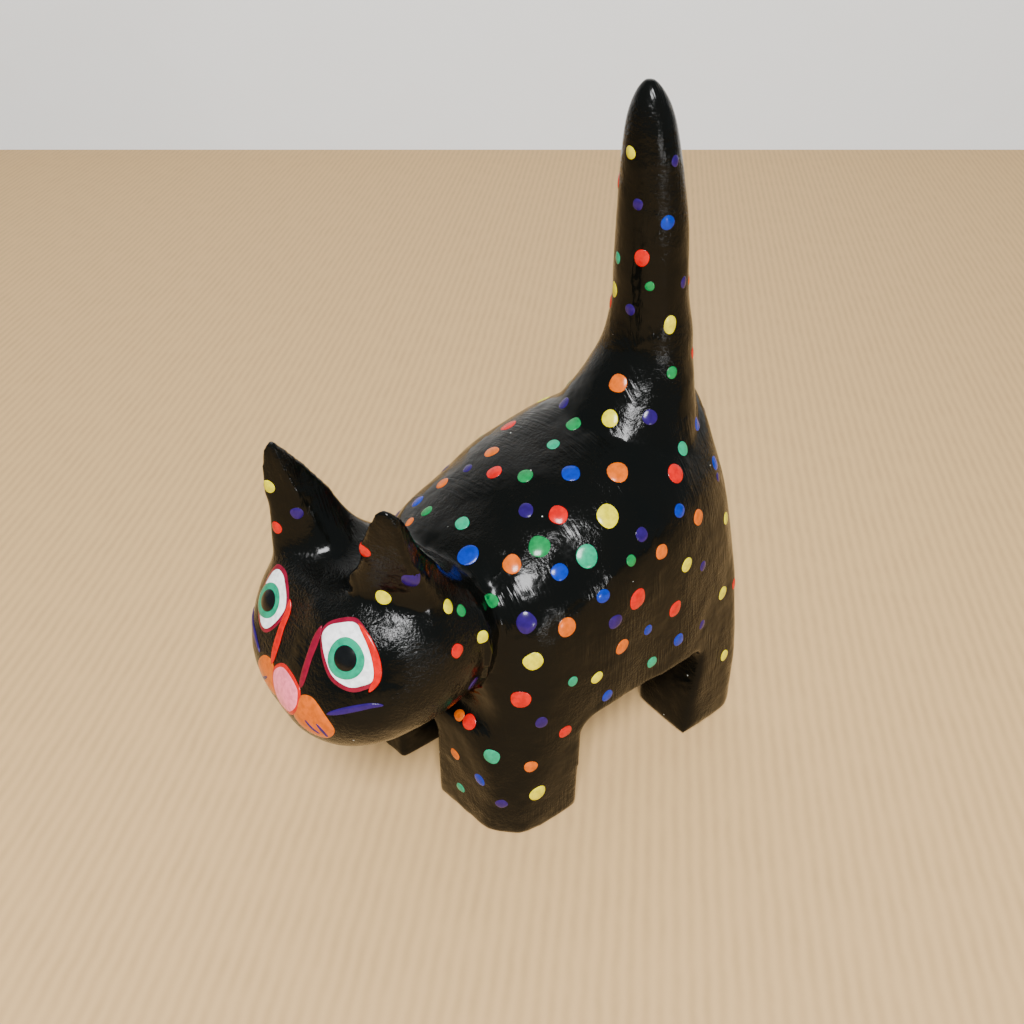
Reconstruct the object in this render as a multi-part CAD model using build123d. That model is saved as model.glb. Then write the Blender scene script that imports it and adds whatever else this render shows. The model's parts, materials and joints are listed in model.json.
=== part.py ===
from build123d import *
import os
from math import dist

# A small carved cat that stands on four stub legs with its tail straight up. The body, head,
# ears and tail are separate blocks of soft wood. Each joint is a flat seat with a dowel or a
# peg glued across it, and a bead of sawdust filler worked into the corner round the outside.
# The frame: +Z up, the cat faces -Y, its left side is +X, and the origin is on the ground
# under the middle of the cat.

# ---------------------------------------------------------------- driving dimensions, mm
CHEST_Y = -15.0              # front faces of the forelegs, on the centre plane
CHEST_SKEW = 0.13            # the right foreleg is carved this much further forward per mm of x
REAR_Y = 34.6                # back faces of the hind legs
BELLY_HEIGHT = 18.0          # underside of the belly above the ground
FORELEG_BACK_Y = 0.5
FORELEG_GAP = 8.4            # between the left and the right foreleg
HIND_LEG_TOE_Y = 22.0        # front of the hind legs at the ground
HIND_LEG_TOP_Y = 25.0        # and at the belly
HIND_LEG_GAP = 17.0          # between the hind legs, at the ground

NECK_Y = -11.0               # flat upright seat between the body and the head
NECK_SEAT_BOTTOM = 19.5      # lowest edge of the seat that is cut on the body
TAIL_SEAT_Z = 64.0           # flat level seat between the body and the tail
TAIL_Y = 26.9                # tail centre on its seat
TAIL_SEAT_RADIUS = 6.25      # the seat is a little wider than the tail's foot
TAIL_RADIUS = 5.85
TAIL_TIP_Z = 96.5

HEAD_Y = -22.0               # upright axis that the head is turned about
HEAD_TURN = 8.5              # degrees towards the cat's left
EAR_SEAT = (8.4, 1.0, 44.6)  # middle of the left ear's seat, from the head's axis
EAR_SEAT_TILT = 15.0         # degrees that each ear's seat falls away outwards
EAR_SEAT_LEAN = 18.0         # and backwards

NECK_DOWEL_R = 3.0
NECK_DOWEL_REACH = 8.0       # how far each dowel or peg goes into the wood on either side
NECK_DOWEL_Z = 32.0
TAIL_PEG_R = 1.9
TAIL_PEG_REACH = 7.5
EAR_PEG_R = 0.95
EAR_PEG_REACH = 4.0
EAR_PEG_LEAN = 14.0          # degrees that the peg leans forwards
EAR_PEG_SPLAY = 6.0          # and outwards
GLUE_GAP = 0.05              # radial gap round each dowel and peg
BORE_RUNOUT = 0.6            # each bore is this much deeper than its dowel or peg

NECK_RING_GROW = 1.07        # filler ring in the neck crease, against the head's own section
NECK_RING_WIDTH = 3.0
EAR_SKIRT_GROW = 1.1         # filler skirt round an ear's foot, against the ear's own section
EAR_SKIRT_TOP = 1.8          # above the ear's seat
EAR_SKIRT_HEIGHT = 3.2

LEFT, RIGHT = 1, -1


# ---------------------------------------------------------------- shared shapes
def level_ellipse(z, half_x, front_y, back_y):
    return Pos(0, (front_y + back_y) / 2, z) * Ellipse(half_x, (back_y - front_y) / 2)


def prism(plane, outline, length):
    """Solid of a closed outline of corners on a plane, drawn out equally both ways."""
    return extrude(plane * make_face(Polyline(*outline, close=True)), length / 2, both=True)


def round_ceiling(gap, axis, radius):
    """The same cutter with its two top edges along the axis rounded."""
    return fillet(gap.edges().filter_by(axis).group_by(Axis.Z)[-1], radius)


def peg(place, radius, reach):
    """Round pin centred on a seat, standing square to it."""
    return place * Cylinder(radius, 2 * reach)


def bore(place, radius, reach):
    return peg(place, radius + GLUE_GAP, reach + BORE_RUNOUT)


def neck_axis():
    return Pos(0, NECK_Y, NECK_DOWEL_Z) * Rot(90, 0, 0)


def tail_axis():
    return Pos(0, TAIL_Y, TAIL_SEAT_Z)


def head_place():
    return Pos(0, HEAD_Y, 0) * Rot(0, 0, HEAD_TURN)


def ear_place(side):
    """Middle of an ear's seat, with Z square to the seat."""
    x, y, z = EAR_SEAT
    return head_place() * Pos(side * x, y, z) * Rot(-EAR_SEAT_LEAN, side * EAR_SEAT_TILT, 0)


def ear_peg_axis(side):
    """The ear's peg stands on the middle of the seat and points at the ear's tip."""
    x, y, z = EAR_SEAT
    return head_place() * Pos(side * x, y, z) * Rot(EAR_PEG_LEAN, side * EAR_PEG_SPLAY, 0)


# ---------------------------------------------------------------- body
def torso_section(y, skew, flank):
    """Upright section of the torso; flank lists (x, z) from under the sole up to the crest."""
    right = [(x, y + skew * x, z) for x, z in flank]
    left = [(-x, y - skew * x, z) for x, z in reversed(flank[:-1])]
    return make_face([Spline(*right, *left), Line(left[-1], right[0])])


def torso():
    """Block with a domed back and nearly flat flanks, before the legs are cut free."""
    low = -4.0               # the block starts under the ground and is then cut level with it
    skew = CHEST_SKEW
    return loft([
        torso_section(CHEST_Y, skew, [(13.8, low), (13.6, 8), (11.6, 14), (7.6, 18), (0, 20)]),
        torso_section(-13.4, skew, [(16.6, low), (16.4, 10), (14.6, 18.5), (10.5, 26), (0, 29)]),
        torso_section(-10.8, 0.7 * skew, [(18, low), (17.8, 11.5), (16, 22.5), (12.8, 34), (0, 41.8)]),
        torso_section(-7, 0.2 * skew, [(18.8, low), (18.7, 12), (17.6, 26), (13.6, 39), (0, 44.4)]),
        torso_section(-2, 0, [(19.1, low), (19.1, 12.5), (18.6, 27), (14.6, 41), (0, 46.8)]),
        torso_section(6, 0, [(19.4, low), (19.3, 13.5), (19.1, 29.5), (15.2, 44.2), (0, 50.3)]),
        torso_section(14, 0, [(19.6, low), (19.5, 14), (18.9, 30), (15, 46), (0, 53)]),
        torso_section(23, 0, [(20, low), (19.6, 14), (18.2, 31), (13.6, 47), (0, 54.5)]),
        torso_section(29, 0, [(20, low), (19, 14), (16.9, 31), (11.8, 46), (0, 55)]),
        torso_section(REAR_Y - 1.5, 0, [(19.4, low), (18.3, 14), (15.4, 30), (9.8, 45), (0, 55)]),
        torso_section(REAR_Y, 0, [(17.5, low), (16.4, 14), (13.4, 30), (8, 44), (0, 53)]),
    ])


def tail_boss():
    """Trumpet of wood that the rump rises in to meet the tail."""
    return loft([
        level_ellipse(40, 15.5, 4.5, 33.9),
        level_ellipse(46, 13.2, 7.6, 33.7),
        level_ellipse(50, 11.0, 11.2, 33.5),
        level_ellipse(54, 9.0, 15.0, 33.3),
        level_ellipse(58, 7.5, 18.2, 33.1),
        level_ellipse(61, 6.6, 20.0, 33.0),
        level_ellipse(TAIL_SEAT_Z, TAIL_SEAT_RADIUS, TAIL_Y - TAIL_SEAT_RADIUS, TAIL_Y + TAIL_SEAT_RADIUS),
    ])


def belly_notch():
    """Space under the belly from flank to flank, between the forelegs and the hind legs."""
    return round_ceiling(prism(Plane.YZ, [
        (FORELEG_BACK_Y, -1), (HIND_LEG_TOE_Y, -1),
        (HIND_LEG_TOP_Y, BELLY_HEIGHT), (FORELEG_BACK_Y, BELLY_HEIGHT)], 80), Axis.X, 2.5)


def leg_gap(y, bottom_half, top_half, height, radius):
    """Slot between a left and a right leg, run out both ways along the cat from y."""
    outline = [(-bottom_half, -1), (bottom_half, -1), (top_half, height), (-top_half, height)]
    return round_ceiling(prism(Plane.XZ.offset(-y), outline, 40), Axis.Y, radius)


def body():
    ground = Pos(0, 0, -25) * Box(120, 160, 50)
    neck_cut = Pos(0, NECK_Y - 15, NECK_SEAT_BOTTOM + 20) * Box(80, 30, 40)
    fore_gap = leg_gap(-15, FORELEG_GAP / 2, FORELEG_GAP / 2, BELLY_HEIGHT - 2, 3)
    hind_gap = leg_gap(30, HIND_LEG_GAP / 2, HIND_LEG_GAP / 2 - 3, BELLY_HEIGHT - 3, 4)
    shape = torso() + tail_boss()
    shape = shape - ground - neck_cut - belly_notch() - fore_gap - hind_gap
    shape -= bore(neck_axis(), NECK_DOWEL_R, NECK_DOWEL_REACH)
    return shape - bore(tail_axis(), TAIL_PEG_R, TAIL_PEG_REACH)


# ---------------------------------------------------------------- head
def skull_section(z, half_width, front_y, back_y):
    """Level section of the head, about the head's own upright axis."""
    front = front_y - HEAD_Y
    back = back_y - HEAD_Y
    right = [(0, front), (0.74 * half_width, 0.74 * front), (half_width, 0.08 * front),
             (0.86 * half_width, 0.78 * back), (0, back)]
    left = [(-x, y) for x, y in reversed(right[1:-1])]
    return Pos(0, 0, z) * make_face([Spline(*right, *left, periodic=True)])


def egg():
    """The head without its ears, run on past the seat at the neck."""
    return head_place() * loft([
        skull_section(21.2, 4.6, -26.5, -11.0),
        skull_section(23.2, 8.4, -31.0, -9.5),
        skull_section(26.8, 12.2, -34.1, -9.0),
        skull_section(30.8, 14.8, -35.2, -9.0),
        skull_section(35.0, 15.9, -34.2, -9.0),
        skull_section(39.2, 15.6, -31.8, -9.8),
        skull_section(42.6, 14.2, -29.6, -12.0),
        skull_section(45.0, 9.2, -26.8, -16.5),
    ])


# Each ear has its own carving: height, then its front, shoulder, back and inner corners about the head's
# axis, mirrored for the right ear. The left ear is a broad blade that is glued on turned to the left, and the
# right ear has a curved outer side and a flat side towards the other ear.
EAR_LEVELS = {
    LEFT: [
        (39.0, [(0.6, -5.2), (15.4, 3.0), (9.0, 12.6), (1.2, 3.4)]),
        (45.0, [(1.6, -5.0), (13.6, 1.4), (9.2, 8.6), (2.6, 2.0)]),
        (50.0, [(3.8, -4.8), (13.0, -0.4), (10.4, 4.4), (4.9, 0.6)]),
        (56.0, [(7.1, -4.4), (12.3, -2.0), (11.0, 0.7), (7.9, -1.2)]),
        (60.0, [(9.2, -4.0), (11.8, -2.7), (11.2, -1.4), (9.6, -2.3)]),
        (61.2, [(9.9, -3.6), (11.0, -3.1), (10.8, -2.7), (10.1, -2.9)]),
    ],
    RIGHT: [
        (39.0, [(12.4, -5.6), (14.2, 1.4), (5.2, 13.0), (2.2, 1.4)]),
        (45.0, [(11.6, -5.1), (13.0, -0.5), (6.6, 9.0), (3.6, 0.2)]),
        (50.0, [(12.1, -4.9), (12.7, -1.4), (8.0, 5.4), (5.8, -1.0)]),
        (56.0, [(11.6, -4.4), (11.8, -2.2), (9.3, 1.4), (8.2, -2.3)]),
        (60.0, [(10.9, -3.8), (10.9, -2.7), (10.0, -1.7), (9.3, -2.9)]),
        (61.2, [(10.3, -3.2), (10.3, -3.0), (10.1, -2.7), (9.9, -2.9)]),
    ],
}


def ear_section(side, z, grow, corners):
    """Level four-cornered section of an ear, grown about its own middle."""
    middle_x = sum(x for x, y in corners) / len(corners)
    middle_y = sum(y for x, y in corners) / len(corners)
    grown = [(middle_x + grow * (x - middle_x), middle_y + grow * (y - middle_y)) for x, y in corners]
    outline = make_face(Polyline(*[(side * x, y) for x, y in grown], close=True))
    back, inner = corners[2], corners[3]
    return Pos(0, 0, z) * fillet(outline.vertices(), 0.1 * dist(back, inner))


def whole_ear(side, grow=1.0):
    """Ear carried down past its seat."""
    return head_place() * loft([ear_section(side, z, grow, corners) for z, corners in EAR_LEVELS[side]])


def above_ear_seat(side, shape):
    """The part of a shape that stands above an ear's seat."""
    return shape - ear_place(side) * Pos(0, 0, -20) * Box(60, 60, 40)


def ear(side):
    return above_ear_seat(side, whole_ear(side)) - bore(ear_peg_axis(side), EAR_PEG_R, EAR_PEG_REACH)


def head():
    shape = egg() - Pos(0, NECK_Y + 10, 33) * Box(80, 20, 60)
    shape -= bore(neck_axis(), NECK_DOWEL_R, NECK_DOWEL_REACH)
    for side in (LEFT, RIGHT):
        shape -= above_ear_seat(side, whole_ear(side))
        shape -= bore(ear_peg_axis(side), EAR_PEG_R, EAR_PEG_REACH)
    return shape


# ---------------------------------------------------------------- tail
def tail():
    """Finger of wood that tapers to a blunt tip and leans forwards a little."""
    def level(z, y, radius):
        return Pos(0, y, z) * Ellipse(radius, 0.96 * radius)
    shape = loft([
        level(TAIL_SEAT_Z, TAIL_Y, TAIL_RADIUS),
        level(68, 26.5, 5.5),
        level(73, 26.1, 5.1),
        level(83, 25.2, 4.4),
        level(89, 24.4, 3.6),
        level(92.6, 23.9, 2.8),
        level(95, 23.5, 1.8),
        level(TAIL_TIP_Z, 23.3, 0.6),
    ])
    return shape - bore(tail_axis(), TAIL_PEG_R, TAIL_PEG_REACH)


# ---------------------------------------------------------------- filler
def without(shape, *neighbours):
    """A shape cut back from its neighbours, so that it only touches them."""
    for neighbour in neighbours:
        shape -= neighbour
    return shape


def largest(shape):
    """The main solid of a cut shape, without any shaving that the cut leaves beside it."""
    return max(shape.solids(), key=lambda solid: solid.volume)


def neck_putty(*neighbours):
    """Ring in the crease behind the cheeks: a slice of a slightly larger head."""
    shrink = 1 - NECK_RING_GROW
    about_seat = Pos(0, shrink * (NECK_Y - HEAD_Y), shrink * NECK_DOWEL_Z)
    ring = about_seat * scale(egg(), by=NECK_RING_GROW)
    ring = ring & (Pos(0, NECK_Y, NECK_DOWEL_Z) * Box(80, NECK_RING_WIDTH, 80))
    return largest(without(ring, *neighbours))


def tail_putty(tail_shape):
    """Small fillet on the ledge that the tail's foot leaves round the seat."""
    fillet_ring = loft([
        level_ellipse(TAIL_SEAT_Z, TAIL_SEAT_RADIUS, TAIL_Y - TAIL_SEAT_RADIUS, TAIL_Y + TAIL_SEAT_RADIUS),
        level_ellipse(TAIL_SEAT_Z + 1.6, TAIL_RADIUS + 0.1, TAIL_Y - TAIL_RADIUS - 0.2, TAIL_Y + TAIL_RADIUS - 0.1),
    ])
    return largest(fillet_ring - tail_shape)


def ear_putty(side, *neighbours):
    """Skirt round the foot of an ear that fills the corner between it and the skull."""
    band = ear_place(side) * Pos(0, 0, EAR_SKIRT_TOP - EAR_SKIRT_HEIGHT / 2)
    skirt = whole_ear(side, EAR_SKIRT_GROW) & (band * Box(60, 60, EAR_SKIRT_HEIGHT))
    skirt -= bore(ear_peg_axis(side), EAR_PEG_R, EAR_PEG_REACH)
    return largest(without(skirt, *neighbours))


def make_parts():
    """Every piece of the cat by the name of its file."""
    parts = {"body": body(), "head": head(), "tail": tail(),
             "left_ear": ear(LEFT), "right_ear": ear(RIGHT)}
    wood = list(parts.values())
    parts["left_ear_putty"] = ear_putty(LEFT, *wood)
    parts["right_ear_putty"] = ear_putty(RIGHT, *wood)
    parts["tail_putty"] = tail_putty(parts["tail"])
    parts["neck_putty"] = neck_putty(*wood, parts["left_ear_putty"], parts["right_ear_putty"])
    parts["neck_dowel"] = peg(neck_axis(), NECK_DOWEL_R, NECK_DOWEL_REACH)
    parts["tail_peg"] = peg(tail_axis(), TAIL_PEG_R, TAIL_PEG_REACH)
    parts["left_ear_peg"] = peg(ear_peg_axis(LEFT), EAR_PEG_R, EAR_PEG_REACH)
    parts["right_ear_peg"] = peg(ear_peg_axis(RIGHT), EAR_PEG_R, EAR_PEG_REACH)
    return parts


if __name__ == "__main__":
    os.makedirs("parts", exist_ok=True)
    for name, shape in make_parts().items():
        export_step(shape, f"parts/{name}.step")
        box = shape.bounding_box()
        print(name, round(shape.volume), "mm3", box.min, box.max, shape.is_valid, len(shape.solids()))
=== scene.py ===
"""Looks of a carved and painted cat: lacquered copal wood under hand-laid dots of enamel.

The carved skin is fused from the frame's pieces, softened as a knife and sandpaper leave it, and parted
again along the seams of the pieces, so that each piece keeps its own mesh under one unbroken coat of paint.
The paint itself is laid on as thin domed films: dots from the end of a brush handle, and brushed eyes,
nose, muzzle and strokes. Lengths are millimetres in the classes and metres in Blender.
"""

import json
import logging
import math
import random
from dataclasses import dataclass, field
from enum import Enum
from typing import Callable, Sequence

import bpy
from mathutils import Matrix, Vector
from mathutils.bvhtree import BVHTree

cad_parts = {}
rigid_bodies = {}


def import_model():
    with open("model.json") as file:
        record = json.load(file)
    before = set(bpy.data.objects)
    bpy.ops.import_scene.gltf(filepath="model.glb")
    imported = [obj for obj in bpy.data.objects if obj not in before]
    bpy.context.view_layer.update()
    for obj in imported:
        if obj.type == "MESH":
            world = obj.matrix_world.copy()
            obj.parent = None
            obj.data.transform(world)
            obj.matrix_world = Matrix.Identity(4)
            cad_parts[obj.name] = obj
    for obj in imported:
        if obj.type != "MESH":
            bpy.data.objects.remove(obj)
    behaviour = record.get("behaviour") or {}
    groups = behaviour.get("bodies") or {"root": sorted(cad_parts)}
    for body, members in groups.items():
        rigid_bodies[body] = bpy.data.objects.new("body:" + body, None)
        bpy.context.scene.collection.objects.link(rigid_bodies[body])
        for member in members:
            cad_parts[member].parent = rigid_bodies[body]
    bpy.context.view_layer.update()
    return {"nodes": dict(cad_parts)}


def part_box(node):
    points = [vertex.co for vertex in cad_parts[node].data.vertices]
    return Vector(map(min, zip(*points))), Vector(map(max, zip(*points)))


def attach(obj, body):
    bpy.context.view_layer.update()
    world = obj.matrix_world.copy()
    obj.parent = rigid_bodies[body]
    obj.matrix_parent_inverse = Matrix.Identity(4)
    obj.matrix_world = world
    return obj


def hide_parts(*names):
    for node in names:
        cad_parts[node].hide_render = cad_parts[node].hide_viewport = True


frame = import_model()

MM = 0.001
LOG = logging.getLogger("alebrije")

WOODS = ("body", "head", "tail", "left_ear", "right_ear")
FILLERS = ("neck_putty", "tail_putty", "left_ear_putty", "right_ear_putty")
PEGS = ("neck_dowel", "tail_peg", "left_ear_peg", "right_ear_peg")

Piece = bpy.types.Object
Material = bpy.types.Material
Tree = bpy.types.NodeTree
Socket = bpy.types.NodeSocket
Ray = tuple[Vector, Vector]
Placer = Callable[[float, float], Ray]
Pair = tuple[float, float]
Triple = tuple[float, float, float]
Four = tuple[float, float, float, float]


class Paint(Enum):
    """The enamels on the painter's tray, as sRGB hex."""

    RED = "#c80000"
    ORANGE = "#cc5c00"
    YELLOW = "#dccf00"
    GREEN = "#007a3e"
    TEAL = "#00946a"
    BLUE = "#002a96"
    PURPLE = "#240c58"
    WHITE = "#f6f8fa"
    BLACK = "#0a0b0c"
    PINK = "#ff7f98"
    MAROON = "#7a0828"
    SEA_GREEN = "#008c68"


Dabs = dict[Paint, tuple[Triple, ...]]


# ---- small tools
def linear(hex_colour: str) -> Four:
    """Turns an sRGB hex colour into linear RGBA.

    Args:
        hex_colour: A colour such as "#e3171b".

    Returns:
        Linear red, green, blue and an alpha of one.
    """
    channels = [int(hex_colour[i:i + 2], 16) / 255 for i in (1, 3, 5)]
    bright = [c / 12.92 if c <= 0.04045 else ((c + 0.055) / 1.055) ** 2.4 for c in channels]
    return (*bright, 1.0)


def node(tree: Tree, kind: str, settings: dict | None = None, **links) -> bpy.types.Node:
    """Adds a shader node with its settings and links.

    Args:
        tree: The material's node tree.
        kind: Blender's type of the node.
        settings: Attributes of the node, such as its operation.
        **links: Socket name, with underscores for spaces, to a value or an output socket. A name that
            starts with "in" and a number means the socket of that number.

    Returns:
        The new node.
    """
    made = tree.nodes.new(kind)
    for key, value in (settings or {}).items():
        setattr(made, key, value)
    plug(tree, made, **links)
    return made


def plug(tree: Tree, made: bpy.types.Node, **links) -> None:
    """Sets or links a node's input sockets, named as for node()."""
    for key, value in links.items():
        number = key[2:] if key.startswith("in") and key[2:].isdigit() else None
        socket = made.inputs[int(number)] if number else made.inputs[key.replace("_", " ")]
        if isinstance(value, Socket):
            tree.links.new(value, socket)
        else:
            socket.default_value = value


def compute(tree: Tree, operation: str, first: Socket, second: Socket | float) -> Socket:
    """Adds a calculation on two values, such as "MULTIPLY", and returns its result."""
    return node(tree, "ShaderNodeMath", {"operation": operation}, in0=first, in1=second).outputs[0]


def blend(tree: Tree, share: Socket, under: Socket | Four, over: Socket | Four) -> Socket:
    """Adds a blend of two colours by a share, and returns its result."""
    mixed = node(tree, "ShaderNodeMix", {"data_type": "RGBA"}, Factor=share, A=under, B=over)
    return mixed.outputs["Result"]


def noise(tree: Tree, place: Socket, grain_mm: float, detail: float, **links) -> Socket:
    """Adds a cloudy noise with a grain of some size, and returns its value."""
    return node(tree, "ShaderNodeTexNoise", Vector=place, Scale=1 / (grain_mm * MM), Detail=detail,
                **links).outputs[0]


def spread(tree: Tree, value: Socket, low: float, high: float, **links) -> Socket:
    """Adds a stretch of a value's range from low and high to 0 and 1, and returns the result."""
    return node(tree, "ShaderNodeMapRange", Value=value, From_Min=low, From_Max=high, **links).outputs[0]


def bump(tree: Tree, height: Socket, depth_mm: float, strength: float = 1.0, **links) -> Socket:
    """Adds a relief of some depth, and returns its normal."""
    return node(tree, "ShaderNodeBump", Strength=strength, Distance=depth_mm * MM, Height=height,
                **links).outputs[0]


def start_finish(name: str) -> tuple[Material, Tree, bpy.types.Node, Socket]:
    """Starts a material.

    Args:
        name: The material's name.

    Returns:
        The material, its tree, its shader and the place on the object in metres.
    """
    finish = bpy.data.materials.new(name)
    finish.use_nodes = True
    tree = finish.node_tree
    return finish, tree, tree.nodes["Principled BSDF"], node(tree, "ShaderNodeTexCoord").outputs["Object"]


def enter(mode: str) -> None:
    """Puts the active piece in a mode."""
    bpy.ops.object.mode_set(mode=mode)


def deselect_all() -> None:
    """Leaves nothing selected, in object mode."""
    if bpy.context.object and bpy.context.object.mode != "OBJECT":
        enter("OBJECT")
    bpy.ops.object.select_all(action="DESELECT")


def activate(piece: Piece) -> None:
    """Makes a piece the only selected one, and the active one."""
    deselect_all()
    piece.select_set(True)
    bpy.context.view_layer.objects.active = piece


def select_faces(piece: Piece, rule: Callable[[bpy.types.MeshPolygon], bool]) -> None:
    """Enters edit mode with only the faces selected that keep a rule."""
    activate(piece)
    enter("EDIT")
    bpy.ops.mesh.select_mode(type="FACE")
    bpy.ops.mesh.select_all(action="DESELECT")
    enter("OBJECT")
    for polygon in piece.data.polygons:
        polygon.select = rule(polygon)
    enter("EDIT")


def apply_modifier(piece: Piece, kind: str, **settings) -> None:
    """Adds a modifier with its settings and applies it."""
    activate(piece)
    modifier = piece.modifiers.new(kind.lower(), kind)
    for key, value in settings.items():
        setattr(modifier, key, value)
    bpy.ops.object.modifier_apply(modifier=modifier.name)


def own_copy(source: Piece, name: str) -> Piece:
    """Copies a piece with a mesh of its own, unparented and at the origin."""
    copy = bpy.data.objects.new(name, source.data.copy())
    copy.data.name = name
    bpy.context.scene.collection.objects.link(copy)
    return copy


def search_tree(mesh: bpy.types.Mesh) -> BVHTree:
    """Makes the search tree of a mesh's surface."""
    return BVHTree.FromPolygons([v.co for v in mesh.vertices], [p.vertices for p in mesh.polygons])


def join(pieces: Sequence[Piece], name: str) -> Piece:
    """Joins pieces into one and names it."""
    activate(pieces[0])
    for piece in pieces:
        piece.select_set(True)
    bpy.ops.object.join()
    joined = bpy.context.object
    joined.name = name
    joined.data.name = name
    return joined


def merge_doubles(piece: Piece, distance_mm: float) -> None:
    """Merges the vertices of a piece that lie closer than a distance."""
    activate(piece)
    enter("EDIT")
    bpy.ops.mesh.select_all(action="SELECT")
    bpy.ops.mesh.remove_doubles(threshold=distance_mm * MM)
    enter("OBJECT")


def dress(piece: Piece, finish: Material) -> None:
    """Gives a piece its finish and its place on the root body."""
    piece.data.materials.clear()
    piece.data.materials.append(finish)
    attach(piece, "root")


# ---- finishes
@dataclass(frozen=True)
class BlackLacquer:
    """Gloss black alkyd enamel, brushed on over sanded wood and filler.

    It gives the eye a deep black that mirrors a window as a broken, speckled streak: the coat is wavy over
    the knife cuts, the grain stands in it as fine pits, and dust has dried into it.
    """

    name: str = "gloss_black_lacquer"
    black: str = "#040606"
    warm: str = "#0a0906"
    dust: str = "#b9bdb6"
    bare_edge: str = "#6b5636"
    ior: float = 1.24
    roughness: float = 0.08
    roughness_spread: float = 0.1
    mottle_mm: float = 9.0
    wave_mm: float = 3.6
    wave_depth_mm: float = 0.3
    streak_mm: float = 0.34
    streak_length_mm: float = 4.0
    streak_depth_mm: float = 0.1
    patch_mm: float = 6.0
    pit_mm: float = 0.42
    pit_depth_mm: float = 0.1
    rough_from: float = 0.42
    speck_spacing_mm: float = 3.0
    speck_radius: float = 0.035
    speck_rarity: float = 0.55
    worn_height_mm: float = 0.7

    def material(self) -> Material:
        """Builds the material."""
        finish, tree, shader, place = start_finish(self.name)
        patchy = noise(tree, place, self.mottle_mm, 2.0)
        rough_patch = spread(tree, patchy, self.rough_from, self.rough_from + 0.2)
        pits = noise(tree, place, self.pit_mm, 3.0, Roughness=0.6)
        sheen = spread(tree, pits, 0.3, 0.7, To_Min=self.roughness,
                       To_Max=self.roughness + self.roughness_spread)
        plug(tree, shader, Base_Color=self.colour(tree, place, patchy, rough_patch), Roughness=sheen,
             Normal=self.relief(tree, place, compute(tree, "MULTIPLY", pits, rough_patch)), IOR=self.ior)
        return finish

    def relief(self, tree: Tree, place: Socket, pitting: Socket) -> Socket:
        """Stacks the coat's waves, its brush streaks and its pits.

        Args:
            tree: The material's node tree.
            place: The place on the object.
            pitting: Depth of the grain's pits, as far as they show through.

        Returns:
            The bumped normal.
        """
        along = self.streak_mm / self.streak_length_mm
        girth = node(tree, "ShaderNodeMapping", Vector=place, Scale=(along, 1.0, along)).outputs[0]
        brushy = spread(tree, noise(tree, place, self.patch_mm, 1.0), 0.46, 0.6)
        streaks = compute(tree, "MULTIPLY", noise(tree, girth, self.streak_mm, 2.0), brushy)
        waves = bump(tree, noise(tree, place, self.wave_mm, 2.0), self.wave_depth_mm, 0.8)
        brushed = bump(tree, streaks, self.streak_depth_mm, Normal=waves)
        return bump(tree, pitting, self.pit_depth_mm, Normal=brushed)

    def colour(self, tree: Tree, place: Socket, patchy: Socket, rough_patch: Socket) -> Socket:
        """Mottles the black, wears it through at the soles' rims and scatters the dust.

        Args:
            tree: The material's node tree.
            place: The place on the object.
            patchy: How warm the black is.
            rough_patch: How ragged the worn rim is.

        Returns:
            The colour.
        """
        cells = node(tree, "ShaderNodeTexVoronoi", Vector=place, Scale=1 / (self.speck_spacing_mm * MM),
                     Randomness=1.0)
        lot = node(tree, "ShaderNodeSeparateColor", Color=cells.outputs["Color"]).outputs[0]
        near = compute(tree, "LESS_THAN", cells.outputs["Distance"], self.speck_radius)
        speck = compute(tree, "MULTIPLY", near, compute(tree, "GREATER_THAN", lot, self.speck_rarity))
        height = node(tree, "ShaderNodeSeparateXYZ", Vector=place).outputs[2]
        worn = spread(tree, height, self.worn_height_mm * MM, 0.1 * MM)
        tone = blend(tree, patchy, linear(self.black), linear(self.warm))
        edged = blend(tree, compute(tree, "MULTIPLY", worn, rough_patch), tone, linear(self.bare_edge))
        return blend(tree, speck, edged, linear(self.dust))


@dataclass(frozen=True)
class DotEnamel:
    """Craft enamel, dabbed or brushed on thickly.

    It gives the eye a full, slightly uneven colour with a wet highlight on its dome.
    """

    paint: Paint
    roughness: float = 0.2
    ior: float = 1.35
    mottle_mm: float = 0.8
    darker: float = 0.72
    dimple_depth_mm: float = 0.03

    def material(self) -> Material:
        """Builds the material."""
        finish, tree, shader, place = start_finish("enamel_" + self.paint.name.lower())
        full = linear(self.paint.value)
        thin = tuple(c * self.darker for c in full[:3]) + (1.0,)
        mottle = noise(tree, place, self.mottle_mm, 3.0)
        plug(tree, shader, Base_Color=blend(tree, spread(tree, mottle, 0.35, 0.6), thin, full),
             Normal=bump(tree, mottle, self.dimple_depth_mm, 0.4), Roughness=self.roughness, IOR=self.ior)
        return finish


@dataclass(frozen=True)
class CopalWood:
    """Bare copal, a pale soft wood, as the pegs are whittled from it.

    It gives the eye a matt cream with fine darker grain along the peg.
    """

    pale: str = "#d9bf94"
    grain: str = "#a98353"
    ring_mm: float = 0.7
    roughness: float = 0.7

    def material(self) -> Material:
        """Builds the material."""
        finish, tree, shader, place = start_finish("bare_copal_wood")
        rings = node(tree, "ShaderNodeTexWave", {"wave_type": "RINGS"}, Vector=place,
                     Scale=1 / (6 * self.ring_mm * MM), Distortion=4.0, Detail=3.0).outputs[1]
        plug(tree, shader, Base_Color=blend(tree, rings, linear(self.pale), linear(self.grain)),
             Normal=bump(tree, rings, 0.03, 0.3), Roughness=self.roughness)
        return finish


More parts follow.
